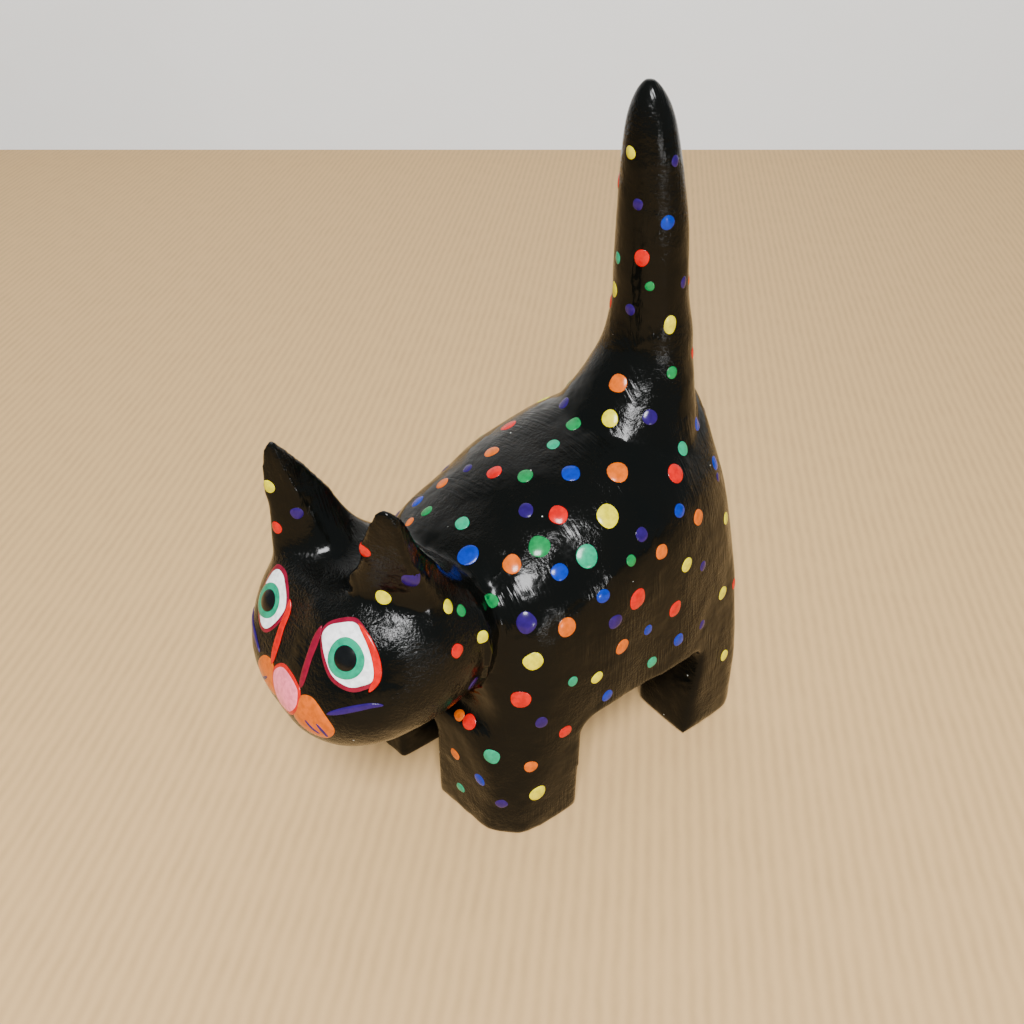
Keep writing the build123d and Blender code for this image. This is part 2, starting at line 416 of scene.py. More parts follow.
# ---- the carved skin
@dataclass
class Carving:
    """The wood and filler under the lacquer, as one skin that is parted again along its seams."""

    voxel_mm: float = 0.39
    lip_mm: float = 0.5
    shading_gap_mm: float = 0.2
    vote_rounds: int = 5
    sanding_passes: int = 9
    ear_reach_mm: float = 4.2
    ear_passes: int = 240
    ears_above_mm: float = 34.0
    tail_reach_mm: float = 5.0
    tail_passes: int = 220
    cheek_pocket: Triple = (12.0, -12.0, 20.0)
    pocket_reach_mm: float = 6.0
    pocket_passes: int = 120
    legs_below_mm: float = 24.0
    leg_passes: int = 26
    hind_feet_behind_mm: float = 12.0
    foot_reach_mm: float = 8.0
    foot_passes: int = 80
    knife_wave_mm: float = 9.0
    knife_depth_mm: float = 0.35
    lump_mm: float = 2.2
    lump_height_mm: float = 0.5
    skin: Piece | None = None
    skin_tree: BVHTree | None = None
    pieces: dict[str, Piece] = field(default_factory=dict)

    def tree_of(self, name: str) -> BVHTree:
        """Search tree of a frame node's surface."""
        return search_tree(frame["nodes"][name].data)

    def fuse(self) -> None:
        """Joins copies of the nodes and remeshes them as one closed skin."""
        copies = [own_copy(frame["nodes"][name], name + "_copy") for name in WOODS + FILLERS + PEGS]
        self.skin = join(copies, "skin")
        merge_doubles(self.skin, 0.001)
        apply_modifier(self.skin, "REMESH", mode="VOXEL", voxel_size=self.voxel_mm * MM)
        self.drop_inner_shells()

    def drop_inner_shells(self) -> None:
        """Deletes the walls of closed voids inside the wood, and keeps the outer skin."""
        activate(self.skin)
        enter("EDIT")
        bpy.ops.mesh.select_mode(type="VERT")
        bpy.ops.mesh.select_all(action="DESELECT")
        enter("OBJECT")
        max(self.skin.data.vertices, key=lambda v: v.co.z).select = True
        enter("EDIT")
        bpy.ops.mesh.select_linked()
        bpy.ops.mesh.select_all(action="INVERT")
        bpy.ops.mesh.delete(type="VERT")
        enter("OBJECT")

    def weigh(self, name: str, rule: Callable[[Vector], float]) -> str:
        """Makes a vertex group from a rule on places.

        Args:
            name: The group's name.
            rule: Gives the weight of a place.

        Returns:
            The group's name.
        """
        group = self.skin.vertex_groups.new(name=name)
        for vertex in self.skin.data.vertices:
            weight = rule(vertex.co)
            if weight > 0:
                group.add([vertex.index], min(weight, 1.0), "REPLACE")
        return name

    def soften(self) -> None:
        """Sands every edge a little, and works the filler into the seams and corners."""
        ear_seams = [self.tree_of(name) for name in FILLERS if "ear" in name]
        tail_seam = self.tree_of("tail_putty")

        def near_ear_seam(place: Vector) -> float:
            """Weight round the seams of the ears, and none low on the head."""
            if place.z < self.ears_above_mm * MM:
                return 0.0
            gap = min(seam.find_nearest(place)[3] for seam in ear_seams)
            return 1.3 - gap / (self.ear_reach_mm * MM)

        def near_tail_seam(place: Vector) -> float:
            """Weight round the seam of the tail."""
            return 1.3 - tail_seam.find_nearest(place)[3] / (self.tail_reach_mm * MM)

        def under_cheek(place: Vector) -> float:
            """Weight in the pocket between the left cheek, the chest and the foreleg."""
            return 1.6 - (place - Vector(self.cheek_pocket) * MM).length / (self.pocket_reach_mm * MM)

        def legs(place: Vector) -> float:
            """Full weight on the legs."""
            return 1.0 if place.z < self.legs_below_mm * MM else 0.0

        def hind_feet(place: Vector) -> float:
            """Weight on the hind feet, which fades upwards."""
            behind = place.y > self.hind_feet_behind_mm * MM
            return 1.6 - place.z / (self.foot_reach_mm * MM) if behind else 0.0

        for name, rule, passes in (("ear_seams", near_ear_seam, self.ear_passes),
                                   ("tail_seam", near_tail_seam, self.tail_passes),
                                   ("cheek", under_cheek, self.pocket_passes),
                                   ("legs", legs, self.leg_passes),
                                   ("hind_feet", hind_feet, self.foot_passes)):
            apply_modifier(self.skin, "SMOOTH", factor=0.5, iterations=passes,
                           vertex_group=self.weigh(name, rule))
        apply_modifier(self.skin, "SMOOTH", factor=0.5, iterations=self.sanding_passes)

    def carve(self) -> None:
        """Leaves the knife's shallow waves all over and lumps round the neck, and levels the soles."""
        activate(self.skin)
        waves = bpy.data.textures.new("knife_waves", "CLOUDS")
        waves.noise_scale = self.knife_wave_mm * MM
        apply_modifier(self.skin, "DISPLACE", texture=waves, texture_coords="LOCAL",
                       strength=self.knife_depth_mm * MM, mid_level=0.5)
        neck = self.tree_of("neck_putty")
        lumps = bpy.data.textures.new("filler_lumps", "CLOUDS")
        lumps.noise_scale = self.lump_mm * MM
        near_neck = self.weigh("neck", lambda place: 1.0 - neck.find_nearest(place)[3] / (0.8 * MM))
        apply_modifier(self.skin, "DISPLACE", texture=lumps, texture_coords="LOCAL", mid_level=0.45,
                       strength=self.lump_height_mm * MM, vertex_group=near_neck)
        for vertex in self.skin.data.vertices:
            vertex.co.z = max(vertex.co.z, 0.0)
        self.skin.data.shade_smooth()

    def owners(self, names: Sequence[str]) -> list[int]:
        """Says which node each face of the skin belongs to.

        A face goes to the node that it lies nearest to, and at the tail to the one at its height. Then each
        face sides with its neighbours, so that the seams run clean.

        Args:
            names: The nodes.

        Returns:
            For each face, the number of its node.
        """
        trees = [self.tree_of(name) for name in names]
        seat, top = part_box("tail_putty")[0][2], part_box("tail_putty")[1][2]
        number_of = {name: number for number, name in enumerate(names)}
        faces_at: list[list[int]] = [[] for _ in self.skin.data.vertices]
        owner = []
        for polygon in self.skin.data.polygons:
            for vertex in polygon.vertices:
                faces_at[vertex].append(polygon.index)
            if polygon.center.z > seat:
                owner.append(number_of["tail" if polygon.center.z > top else "tail_putty"])
                continue
            gaps = [tree.find_nearest(polygon.center)[3] for tree in trees]
            owner.append(gaps.index(min(gaps)))
        for _ in range(self.vote_rounds):
            around = [[owner[face] for corner in polygon.vertices for face in faces_at[corner]]
                      for polygon in self.skin.data.polygons]
            owner = [max(set(votes), key=lambda number: (votes.count(number), -number)) for votes in around]
        return owner

    def part(self) -> None:
        """Parts the skin into one closed piece for each node."""
        names = WOODS + FILLERS
        self.skin_tree = search_tree(self.skin.data)
        owner = self.owners(names)
        for number, name in enumerate(names):
            piece = own_copy(self.skin, name + "_painted")
            select_faces(piece, lambda polygon: owner[polygon.index] != number)
            self.close(piece)
            self.pieces[name] = piece

    def close(self, piece: Piece) -> None:
        """Deletes a piece's selected faces, in edit mode, and closes what opens.

        Each opening gets a lip that turns in under the skin, and a flat inner end. The shading is the whole
        skin's, so that no seam shows.
        """
        bpy.ops.mesh.delete(type="FACE")
        bpy.ops.mesh.select_mode(type="EDGE")
        bpy.ops.mesh.select_all(action="DESELECT")
        bpy.ops.mesh.select_non_manifold(extend=False, use_wire=False, use_multi_face=False,
                                         use_non_contiguous=False, use_verts=False)
        bpy.ops.mesh.extrude_region_move()
        enter("OBJECT")
        for vertex in piece.data.vertices:
            if vertex.select:
                vertex.co -= self.skin_tree.find_nearest(vertex.co)[1] * self.lip_mm * MM
        enter("EDIT")
        bpy.ops.mesh.fill_holes(sides=0)
        enter("OBJECT")
        apply_modifier(piece, "DATA_TRANSFER", object=self.skin, use_loop_data=True,
                       data_types_loops={"CUSTOM_NORMAL"}, loop_mapping="NEAREST_POLYNOR",
                       use_max_distance=True, max_distance=self.shading_gap_mm * MM)

    def build(self) -> None:
        """Makes the skin and its pieces."""
        self.fuse()
        self.soften()
        self.carve()
        LOG.info("skin has %d faces", len(self.skin.data.polygons))
        self.part()

    def finish(self, lacquer: Material, head_lacquer: Material,
               wood: Material) -> None:
        """Dresses the pieces, hides the nodes that they stand for, and drops the skin."""
        for name, piece in self.pieces.items():
            dress(piece, head_lacquer if name == "head" else lacquer)
            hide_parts(name)
            LOG.info("%s: %d faces", piece.name, len(piece.data.polygons))
        for name in PEGS:
            frame["nodes"][name].data.materials.clear()
            frame["nodes"][name].data.materials.append(wood)
        bpy.data.objects.remove(self.skin)


# ---- places on the cat
@dataclass(frozen=True)
class Chart:
    """Ways to name a place on the cat, each as a ray that comes in from outside."""

    body_axis_z: float = 22.0
    tail_axis_y: float = 25.5
    head_middle: Triple = (0.0, -22.0, 33.0)
    head_turn: float = 8.5
    reach: float = 60.0

    def inward(self, middle: Vector, outward: Vector) -> Ray:
        """Ray that comes in to a middle point, in metres, along a direction."""
        return middle + outward * self.reach * MM, -outward * self.reach * MM

    def body(self, y: float, angle: float) -> Ray:
        """Place round the body's axis: 0 degrees is its left flank and 90 is its back."""
        turn = math.radians(angle)
        return self.inward(Vector((0, y, self.body_axis_z)) * MM, Vector((math.cos(turn), 0, math.sin(turn))))

    def tail(self, z: float, angle: float) -> Ray:
        """Place round the tail: 0 degrees is its left side and -90 its front."""
        turn = math.radians(angle)
        return self.inward(Vector((0, self.tail_axis_y, z)) * MM, Vector((math.cos(turn), math.sin(turn), 0)))

    def head(self, side: float, up: float) -> Ray:
        """Place round the head's middle: degrees from its nose towards its left, and degrees up."""
        turn = math.radians(side + self.head_turn)
        lift = math.radians(up)
        outward = Vector((math.sin(turn) * math.cos(lift), -math.cos(turn) * math.cos(lift), math.sin(lift)))
        return self.inward(Vector(self.head_middle) * MM, outward)


# ---- the painter's brush
@dataclass
class Brush:
    """Lays films of paint on the skin. Each film is a domed patch that is let into the skin at its rim."""

    skin: Piece
    rng: random.Random
    sink_mm: float = 0.06
    hover_mm: float = 2.5
    dot_share: float = 0.74
    coat_mm: float = 0.1
    drop_mm: float = 0.32
    dot_corners: int = 18
    patch_corners: int = 64
    films: dict[tuple[str, Paint], list[Piece]] = field(default_factory=dict)
    laid: list[tuple[Vector, float]] = field(default_factory=list)

    def __post_init__(self) -> None:
        """Makes the blanks that every film is shaped from."""
        self.tree = search_tree(self.skin.data)
        self.disc = self.disc_blank(self.dot_corners, (0.1, 0.2, 0.3))
        self.sheet = self.disc_blank(self.patch_corners, (0.04, 0.06, 0.08) + (0.09,) * 8)
        self.strip = self.strip_blank()

    def disc_blank(self, corners: int, depths: Sequence[float]) -> Piece:
        """A closed round blank of radius one, with its top at 1 and its foot at -1.

        Args:
            corners: Corners of its rim.
            depths: Steps inwards from one ring of its top to the next.

        Returns:
            The blank.
        """
        deselect_all()
        bpy.ops.mesh.primitive_cylinder_add(vertices=corners, radius=1.0, depth=2.0, end_fill_type="NGON")
        blank = bpy.context.object
        select_faces(blank, lambda polygon: polygon.normal.z > 0.9)
        for depth in depths:
            bpy.ops.mesh.inset(thickness=depth)
        bpy.ops.mesh.poke()
        enter("OBJECT")
        return blank

    def strip_blank(self) -> Piece:
        """A closed square blank from -1 to 1 each way, that a stroke is drawn out of."""
        deselect_all()
        bpy.ops.mesh.primitive_grid_add(x_subdivisions=36, y_subdivisions=8, size=2.0)
        blank = bpy.context.object
        apply_modifier(blank, "SOLIDIFY", thickness=2.0, offset=0.0)
        return blank

    def lay(self, part: str, paint: Paint, blank: Piece, rise_mm: float, under_mm: float,
            place: Placer, rim: Callable[[float, float], float]) -> None:
        """Shapes a copy of a blank on the skin.

        Args:
            part: The carved piece that the film lies on.
            paint: Its enamel.
            blank: The flat blank.
            rise_mm: Height of the film's middle above its rim.
            under_mm: Height of older paint that the film lies over.
            place: Turns a blank's place into a ray that meets the skin there.
            rim: Gives 0 in the middle of the blank and 1 at its rim.
        """
        film = own_copy(blank, f"{part}_{paint.name.lower()}")
        for vertex in film.data.vertices:
            x, y = vertex.co.x, vertex.co.y
            spot, normal = self.meet(place(x, y))
            height = -self.sink_mm
            if vertex.co.z > 0:
                height = under_mm + rise_mm * (1 - min(rim(x, y), 1.0) ** 3) - 0.3 * self.sink_mm
            vertex.co = spot + normal * height * MM
        film.data.shade_smooth()
        self.films.setdefault((part, paint), []).append(film)

    def meet(self, ray: Ray) -> Ray:
        """Where a ray meets the skin, and the skin's normal there."""
        origin, direction = ray
        spot, normal, _, _ = self.tree.ray_cast(origin, direction.normalized(), direction.length)
        if spot is None:
            spot, normal, _, _ = self.tree.find_nearest(origin + direction / 2)
        return spot, normal

    def dot(self, part: str, paint: Paint, ray: Ray, across_mm: float, stretch: float = 1.0,
            lean: float = 0.0) -> Vector:
        """Dabs one dot with the end of the brush handle.

        Args:
            part: The carved piece that the dot lies on.
            paint: Its enamel.
            ray: A ray that meets the skin at the dot's middle.
            across_mm: Width of the brush handle's end; the dot comes out a little smaller.
            stretch: Its height against its width.
            lean: Degrees that its long way is turned.

        Returns:
            The dot's middle.
        """
        spot, normal = self.meet(ray)
        return self.dot_at(part, paint, spot, normal, across_mm, stretch, lean)

    def dot_near(self, part: str, paint: Paint, place_mm: Sequence[float], across_mm: float) -> Vector:
        """Dabs one dot where the skin is nearest to a place, and returns where that is."""
        spot, normal, _, _ = self.tree.find_nearest(Vector(place_mm) * MM)
        return self.dot_at(part, paint, spot, normal, across_mm)

    def dot_at(self, part: str, paint: Paint, spot: Vector, normal: Vector, across_mm: float,
               stretch: float = 1.0, lean: float = 0.0) -> Vector:
        """Dabs one dot at a place on the skin, and returns the place."""
        level = Vector((0, 0, 1)).cross(normal)
        level = level.normalized() if level.length > 0.1 else Vector((1, 0, 0))
        turned = Matrix.Rotation(math.radians(lean), 3, normal)
        right = turned @ level
        upward = normal.cross(right)
        half = self.dot_share * across_mm * MM / 2
        wobble = [self.rng.uniform(-0.035, 0.035) for _ in range(3)]
        phase = self.rng.uniform(0, math.tau)

        def place(x: float, y: float) -> Ray:
            """Ray to a place of the blank, whose rim wobbles as a hand-laid dot's does."""
            angle = math.atan2(y, x) + phase
            loose = 1 + sum(w * math.cos((k + 2) * angle) for k, w in enumerate(wobble))
            offset = (right * x + upward * y * stretch) * half * loose
            return spot + offset + normal * self.hover_mm * MM, -2 * normal * self.hover_mm * MM

        self.lay(part, paint, self.disc, 0.05 + 0.035 * across_mm, 0.0, place, math.hypot)
        self.laid.append((spot, half))
        return spot

    def patch(self, part: str, paint: Paint, outline: Sequence[Pair], under_mm: float,
              place: Placer, drop: bool = False) -> None:
        """Fills an outline on the chart with paint.

        Args:
            part: The carved piece.
            paint: Its enamel.
            outline: Corners of the outline in order; the edge runs smoothly through them.
            under_mm: Height of older paint that it covers.
            place: Turns a place on the chart into a ray.
            drop: Whether the paint is a full round drop and not a level coat.
        """
        rise_mm, edge_power = (self.drop_mm, 2 / 3) if drop else (self.coat_mm, 3)
        if sum(a[0] * b[1] - b[0] * a[1] for a, b in zip(outline, (*outline[1:], outline[0]))) < 0:
            outline = outline[::-1]
        middle = (sum(u for u, _ in outline) / len(outline), sum(v for _, v in outline) / len(outline))

        def on_chart(x: float, y: float) -> Ray:
            """Ray to a place of the round blank, which is stretched to the outline."""
            turn = math.atan2(y, x) % math.tau
            edge = smooth_loop(outline, turn / math.tau)
            reach = math.hypot(x, y)
            return place(*(m + reach * (e - m) for m, e in zip(middle, edge)))

        self.lay(part, paint, self.sheet, rise_mm, under_mm, on_chart,
                 lambda x, y: math.hypot(x, y) ** edge_power)

    def stroke(self, part: str, paint: Paint, line: Sequence[Pair], widths: Sequence[float],
               under_mm: float, place: Placer) -> None:
        """Draws a brush stroke along a line on the chart.

        Args:
            part: The carved piece.
            paint: Its enamel.
            line: Places that the stroke runs through.
            widths: Its width at each of those places, in the chart's degrees.
            under_mm: Height of older paint that it crosses.
            place: Turns a place on the chart into a ray.
        """
        def on_chart(x: float, y: float) -> Ray:
            """Ray to a place of the square blank, which is drawn out along the line."""
            along = (x + 1) / 2
            here = smooth_line(line, along)
            ahead = smooth_line(line, min(along + 0.02, 1.0))
            behind = smooth_line(line, max(along - 0.02, 0.0))
            du, dv = ahead[0] - behind[0], ahead[1] - behind[1]
            length = math.hypot(du, dv) or 1.0
            width = smooth_line([(w, 0.0) for w in widths], along)[0] * max(0.05, 1 - abs(x) ** 8)
            return place(here[0] - dv / length * y * width / 2, here[1] + du / length * y * width / 2)

        self.lay(part, paint, self.strip, 0.08, under_mm, on_chart, lambda x, y: max(abs(x) ** 6, y * y))

    def finish(self) -> None:
        """Joins the films of each paint on each carved piece, and dresses them."""
        finishes: dict[Paint, Material] = {}
        for (part, paint), films in self.films.items():
            piece = join(films, f"{part}_paint_{paint.name.lower()}")
            if paint not in finishes:
                finishes[paint] = DotEnamel(paint).material()
            dress(piece, finishes[paint])
            LOG.info("%s: %d films", piece.name, len(films))
        for blank in (self.disc, self.sheet, self.strip):
            bpy.data.objects.remove(blank)


def smooth_line(points: Sequence[Pair], along: float) -> Pair:
    """Place on a smooth line through points.

    Args:
        points: The points in order.
        along: 0 at the first point and 1 at the last.

    Returns:
        The place.
    """
    reach = along * (len(points) - 1)
    start = min(int(reach), len(points) - 2)
    corners = [points[min(max(start + k, 0), len(points) - 1)] for k in (-1, 0, 1, 2)]
    return blend_corners(corners, reach - start)


def smooth_loop(points: Sequence[Pair], along: float) -> Pair:
    """Place on a smooth closed line through points, as for smooth_line."""
    reach = along * len(points)
    start = int(reach)
    corners = [points[(start + k) % len(points)] for k in (-1, 0, 1, 2)]
    return blend_corners(corners, reach - start)


def blend_corners(corners: Sequence[Pair], t: float) -> Pair:
    """Place between the second and the third of four corners, on a Catmull-Rom curve."""
    weights = (-0.5 * t + t * t - 0.5 * t ** 3, 1 - 2.5 * t * t + 1.5 * t ** 3,
               0.5 * t + 2 * t * t - 1.5 * t ** 3, -0.5 * t * t + 0.5 * t ** 3)
    return (sum(w * c[0] for w, c in zip(weights, corners)), sum(w * c[1] for w, c in zip(weights, corners)))


# ---- what is painted
@dataclass
class BodyDots:
    """Dots on the body, by paint: place along the body, degrees round it, and width.

    Those on the foreleg and under the cheek are given as paint, nearest place and width.
    """

    flank: Dabs = field(default_factory=lambda: {
        Paint.YELLOW: ((17.5, 112, 3.0), (16.5, 83, 3.2), (19.6, 38.5, 3.2), (8.5, 62.5, 4.2),
                       (2.7, 10.7, 2.8), (-6.6, 32.3, 3.8), (-7.2, -36, 3.6), (31, 46, 2.8), (29.2, 12, 3.0),
                       (30.3, -25, 2.6)),
        Paint.ORANGE: ((19, 86, 3.6), (4, 103, 3.0), (-2.5, 112, 3.0), (13, 71, 4.0), (23, 51, 3.4),
                       (14.7, 47, 3.0), (-9, 112, 2.2), (-4.8, 65.7, 3.4), (-1.6, 39.3, 3.8), (7, 20, 3.2),
                       (-8, -23.5, 2.8)),
        Paint.RED: ((9.5, 109, 3.2), (1.5, 95, 3.0), (21, 64, 4.0), (3.2, 70, 3.6), (9.7, 36.5, 4.0),
                    (17.3, 23, 3.3), (-8.5, 15, 4.0), (-2.7, -10.5, 3.0), (33, 10, 2.6)),
        Paint.GREEN: ((20.5, 106, 3.0), (25, 80, 2.4), (13.5, 90, 3.0), (3.5, 86, 3.0), (9.3, 49, 2.2),
                      (-0.9, 65.5, 4.0), (-7, 107, 2.4), (-9, 59.5, 2.6)),
        Paint.TEAL: ((9.5, 89, 2.6), (24.3, 69, 2.8), (3.7, 56, 4.0), (-5.8, 89.5, 3.0), (13.2, 1, 2.6),
                     (-1.4, 15.5, 2.2)),
        Paint.BLUE: ((29.5, 74, 2.8), (-6, 117, 3.0), (8, 78, 3.6), (31, 64, 2.8), (19.3, 55, 2.8),
                     (-0.3, 56, 3.3), (-8, 78, 3.8), (4.2, 43.3, 2.8), (12, 20.5, 2.2), (18.4, 5, 2.8),
                     (4.7, -3, 2.6)),
        Paint.PURPLE: ((15.5, 98, 2.8), (20.5, 77, 3.0), (0.5, 106, 2.2), (12, 54, 2.8), (0.5, 77, 2.8),
                       (-6.4, 47, 3.8), (5.7, 32.7, 3.2), (23.5, 34, 2.2), (23.8, 4, 2.0), (-6.3, 0, 2.6),
                       (30.8, 60, 2.0)),
    })
    foreleg: tuple[tuple[Paint, float, float, float, float], ...] = (
        (Paint.TEAL, 14.6, -12.3, 16.0, 3.4), (Paint.BLUE, 13.0, -13.3, 10.4, 2.8),
        (Paint.TEAL, 9.0, -13.8, 5.2, 2.4), (Paint.PURPLE, 16.2, -11.8, 7.1, 2.6),
        (Paint.ORANGE, 8.1, -13.9, 11.8, 2.6), (Paint.RED, 10.0, -12.8, 19.5, 3.2),
        (Paint.ORANGE, 8.1, -13.1, 19.5, 2.4))

    def paint(self, brush: Brush, chart: Chart) -> None:
        """Dabs the dots."""
        for colour, dabs in self.flank.items():
            for y, angle, across in dabs:
                brush.dot("body", colour, chart.body(y, angle), across, brush.rng.uniform(0.94, 1.12),
                          brush.rng.uniform(-40, 40))
        for colour, x, y, z, across in self.foreleg:
            brush.dot_near("body", colour, (x, y, z), across)


@dataclass
class TailDots:
    """Dots on the tail, by paint: height, degrees round it, and width. The large one is a long yellow dab."""

    dabs: Dabs = field(default_factory=lambda: {
        Paint.YELLOW: ((88.3, -90, 2.3), (69.5, -125, 2.8)),
        Paint.PURPLE: ((87.5, -10, 2.0), (82.3, -70, 2.0), (71.6, 20, 2.0), (68, -73, 2.2)),
        Paint.RED: ((83.8, -135, 2.6), (75.5, -57, 2.8), (67, -145, 2.6)),
        Paint.BLUE: ((80.2, -20, 2.6),),
        Paint.TEAL: ((74.3, -112, 2.0),),
        Paint.GREEN: ((71.8, -40, 1.8),),
        Paint.ORANGE: ((71, 45, 2.0),),
    })
    large: Triple = (66.3, -3, 2.7)

    def paint(self, brush: Brush, chart: Chart) -> None:
        """Dabs the dots."""
        for colour, dabs in self.dabs.items():
            for z, angle, across in dabs:
                brush.dot("tail", colour, chart.tail(z, angle), across, brush.rng.uniform(1.0, 1.2))
        z, angle, across = self.large
        brush.dot("tail", Paint.YELLOW, chart.tail(z, angle), across, 1.35)


@dataclass
class Face:
    """Eyes, nose, muzzle and whiskers, and the dots on the head. Places are degrees on the head's chart."""

    left_white: tuple[Pair, ...] = ((23, 45), (28, 50), (38, 52), (48, 52), (53, 49), (57, 42), (58, 34),
                                    (57, 24), (51, 21), (44, 20), (35, 24), (29, 32), (25, 39))
    right_white: tuple[Pair, ...] = ((-58, 45), (-60, 40), (-58, 33), (-52, 25), (-43, 18), (-36, 18),
                                     (-32, 26), (-31, 38), (-36, 44), (-43, 47), (-51, 48))
    left_ring: Four = (42.5, 34.5, 12.0, 11.0)
    right_ring: Four = (-46.0, 31.0, 10.5, 11.0)
    nose: tuple[Pair, ...] = ((-14, 4), (-10, 10), (-4, 13), (4, 13), (10, 11), (13, 8), (13, 0), (7, -8),
                              (0, -11), (-6, -11), (-12, -3))
    left_muzzle: tuple[Pair, ...] = ((13, 4), (17, 9), (24, 10), (31, 4), (36, -5), (31, -14), (24, -16),
                                     (17, -15), (10, -9), (12, -3))
    right_muzzle: tuple[Pair, ...] = ((-13, 3), (-18, 8), (-26, 7), (-31, 1), (-33, -7), (-28, -13),
                                      (-17, -14), (-10, -10), (-12, -3))
    dots: tuple[tuple[Paint, Triple, float], ...] = (
        (Paint.YELLOW, (12.2, -16.5, 44.4), 2.6), (Paint.GREEN, (12.4, -14.7, 42.9), 2.2),
        (Paint.YELLOW, (13.9, -13.0, 38.8), 2.4), (Paint.RED, (15.2, -17.4, 39.8), 2.6),
        (Paint.PURPLE, (14.3, -14.7, 31.8), 3.0))

    def oval(self, eye: Four, size: float) -> list[Pair]:
        """Outline of an oval in an eye, as a share of its ring."""
        side, up, wide, high = eye
        turns = [k * math.tau / 12 for k in range(12)]
        return [(side + wide * size * math.cos(turn), up + high * size * math.sin(turn)) for turn in turns]

    def grown(self, outline: Sequence[Pair], degrees: float) -> list[Pair]:
        """An outline moved outwards from its middle."""
        u0 = sum(u for u, _ in outline) / len(outline)
        v0 = sum(v for _, v in outline) / len(outline)
        reach = [math.hypot(u - u0, v - v0) for u, v in outline]
        return [(u0 + (u - u0) * (1 + degrees / r), v0 + (v - v0) * (1 + degrees / r))
                for (u, v), r in zip(outline, reach)]

    def paint_eye(self, brush: Brush, chart: Chart, white: Sequence[Pair],
                  ring: Four) -> None:
        """Paints an eye from its outline up to its pupil."""
        brush.patch("head", Paint.MAROON, self.grown(white, 2.6), 0.0, chart.head)
        brush.patch("head", Paint.WHITE, white, 0.06, chart.head)
        brush.patch("head", Paint.SEA_GREEN, self.oval(ring, 1.0), 0.12, chart.head)
        brush.patch("head", Paint.BLACK, self.oval(ring, 0.68), 0.14, chart.head, drop=True)

    def paint(self, brush: Brush, chart: Chart) -> None:
        """Paints the face."""
        self.paint_eye(brush, chart, self.left_white, self.left_ring)
        self.paint_eye(brush, chart, self.right_white, self.right_ring)
        brush.patch("head", Paint.ORANGE, self.left_muzzle, 0.0, chart.head)
        brush.patch("head", Paint.ORANGE, self.right_muzzle, 0.0, chart.head)
        brush.patch("head", Paint.RED, self.grown(self.nose, 2.0), 0.03, chart.head)
        brush.patch("head", Paint.PINK, self.nose, 0.09, chart.head)
        strokes = (
            (Paint.RED, ((-33, 46), (-28, 40), (-25, 29), (-21, 18), (-18, 6)), (3, 6, 6, 6, 4)),
            (Paint.MAROON, ((21, 49), (18, 41), (16, 31), (15, 21), (14, 11)), (3, 6.5, 5.5, 5, 4)),
            (Paint.RED, ((52, 51), (57, 43), (59.5, 34), (59, 25), (54, 18)), (2.5, 4, 4.5, 4, 2.5)),
            (Paint.PURPLE, ((32, 4), (42, 8), (53, 11), (60, 11)), (2, 3.5, 3, 1.5)),
            (Paint.PURPLE, ((-32, 4), (-42, 8), (-53, 10), (-60, 10)), (2, 3.5, 3, 1.5)),
            (Paint.PURPLE, ((19, -5), (23, -9), (27, -11)), (1.5, 2.5, 1.5)),
            (Paint.PURPLE, ((26, -4), (29, -8), (31, -12)), (1.5, 2.5, 1.5)),
            (Paint.PURPLE, ((-20, -4), (-24, -8), (-27, -10)), (1.5, 2.5, 1.5)),
        )
        for colour, line, widths in strokes:
            brush.stroke("head", colour, line, widths, 0.06, chart.head)
        for colour, spot, across in self.dots:
            brush.dot_near("head", colour, spot, across)


@dataclass
class EarDots:
    """Dots on the ears, as ear, paint, place and width."""

    dabs: tuple[tuple[str, Paint, Triple, float], ...] = (
        ("left_ear", Paint.RED, (7.4, -25.0, 54.3), 3.2),
        ("left_ear", Paint.PURPLE, (11.8, -21.3, 50.5), 3.2),
        ("left_ear", Paint.YELLOW, (8.5, -23.1, 47.0), 2.8),
        ("right_ear", Paint.YELLOW, (-10.1, -27.5, 54.4), 2.6),
        ("right_ear", Paint.PURPLE, (-7.5, -25.4, 50.9), 2.4),
        ("right_ear", Paint.RED, (-9.7, -27.5, 48.3), 2.4))

    def paint(self, brush: Brush, chart: Chart) -> None:
        """Dabs the dots."""
        for ear, colour, spot, across in self.dabs:
            brush.dot_near(ear, colour, spot, across)


